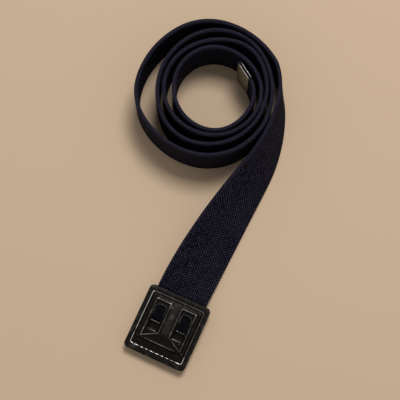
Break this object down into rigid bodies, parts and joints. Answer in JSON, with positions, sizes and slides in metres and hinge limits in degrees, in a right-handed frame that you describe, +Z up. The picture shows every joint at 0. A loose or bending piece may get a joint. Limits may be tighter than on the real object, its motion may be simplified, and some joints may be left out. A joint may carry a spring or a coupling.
{
  "type": "web belt with friction buckle",
  "caption": "Woven web belt wound up on its edge, with an open-face friction buckle on its outer end and a folded metal tip on its inner end.",
  "frame": {"origin": "middle of the overall box, on the surface the belt lies on", "axes": "+Z up; +Y runs from the buckle towards the coil; +X to the right as seen with the buckle nearest"},
  "size_m": [0.0986, 0.2116, 0.0321],
  "materials": {
    "webbing": "matt heavy cotton weave, navy blue",
    "buckle_black": "satin black, rubbed bright on its edges",
    "clamp_steel": "satin black with bright tooth points",
    "bar_steel": "darkened steel, worn along its crests",
    "tip_metal": "polished and lightly scuffed"
  },
  "bodies": {
    "belt": {"rim_frame": "buckle_black", "window_plate": "buckle_black", "clamp_pin": "bar_steel", "webbing_clamped_end": "webbing", "webbing_twist": "webbing", "webbing_turn_1": "webbing", "webbing_turn_2": "webbing", "webbing_turn_3": "webbing", "webbing_turn_4": "webbing", "webbing_inner_end": "webbing", "tip_ferrule": "tip_metal"},
    "lock_bar": {"lock_bar": "bar_steel"},
    "end_clamp": {"end_clamp": "clamp_steel"}
  },
  "joints": [
    {"name": "lock_bar_slide", "type": "slide", "parent": "belt", "child": "lock_bar", "axis": [-0.4015, -0.881, 0.2504], "range_m": [0, 0.005]},
    {"name": "end_clamp_hinge", "type": "hinge", "parent": "belt", "child": "end_clamp", "pos_m": [-0.01752, -0.06617, 0.00155], "axis": [0.91, -0.4147, 0], "range_deg": [0, 100]}
  ]
}
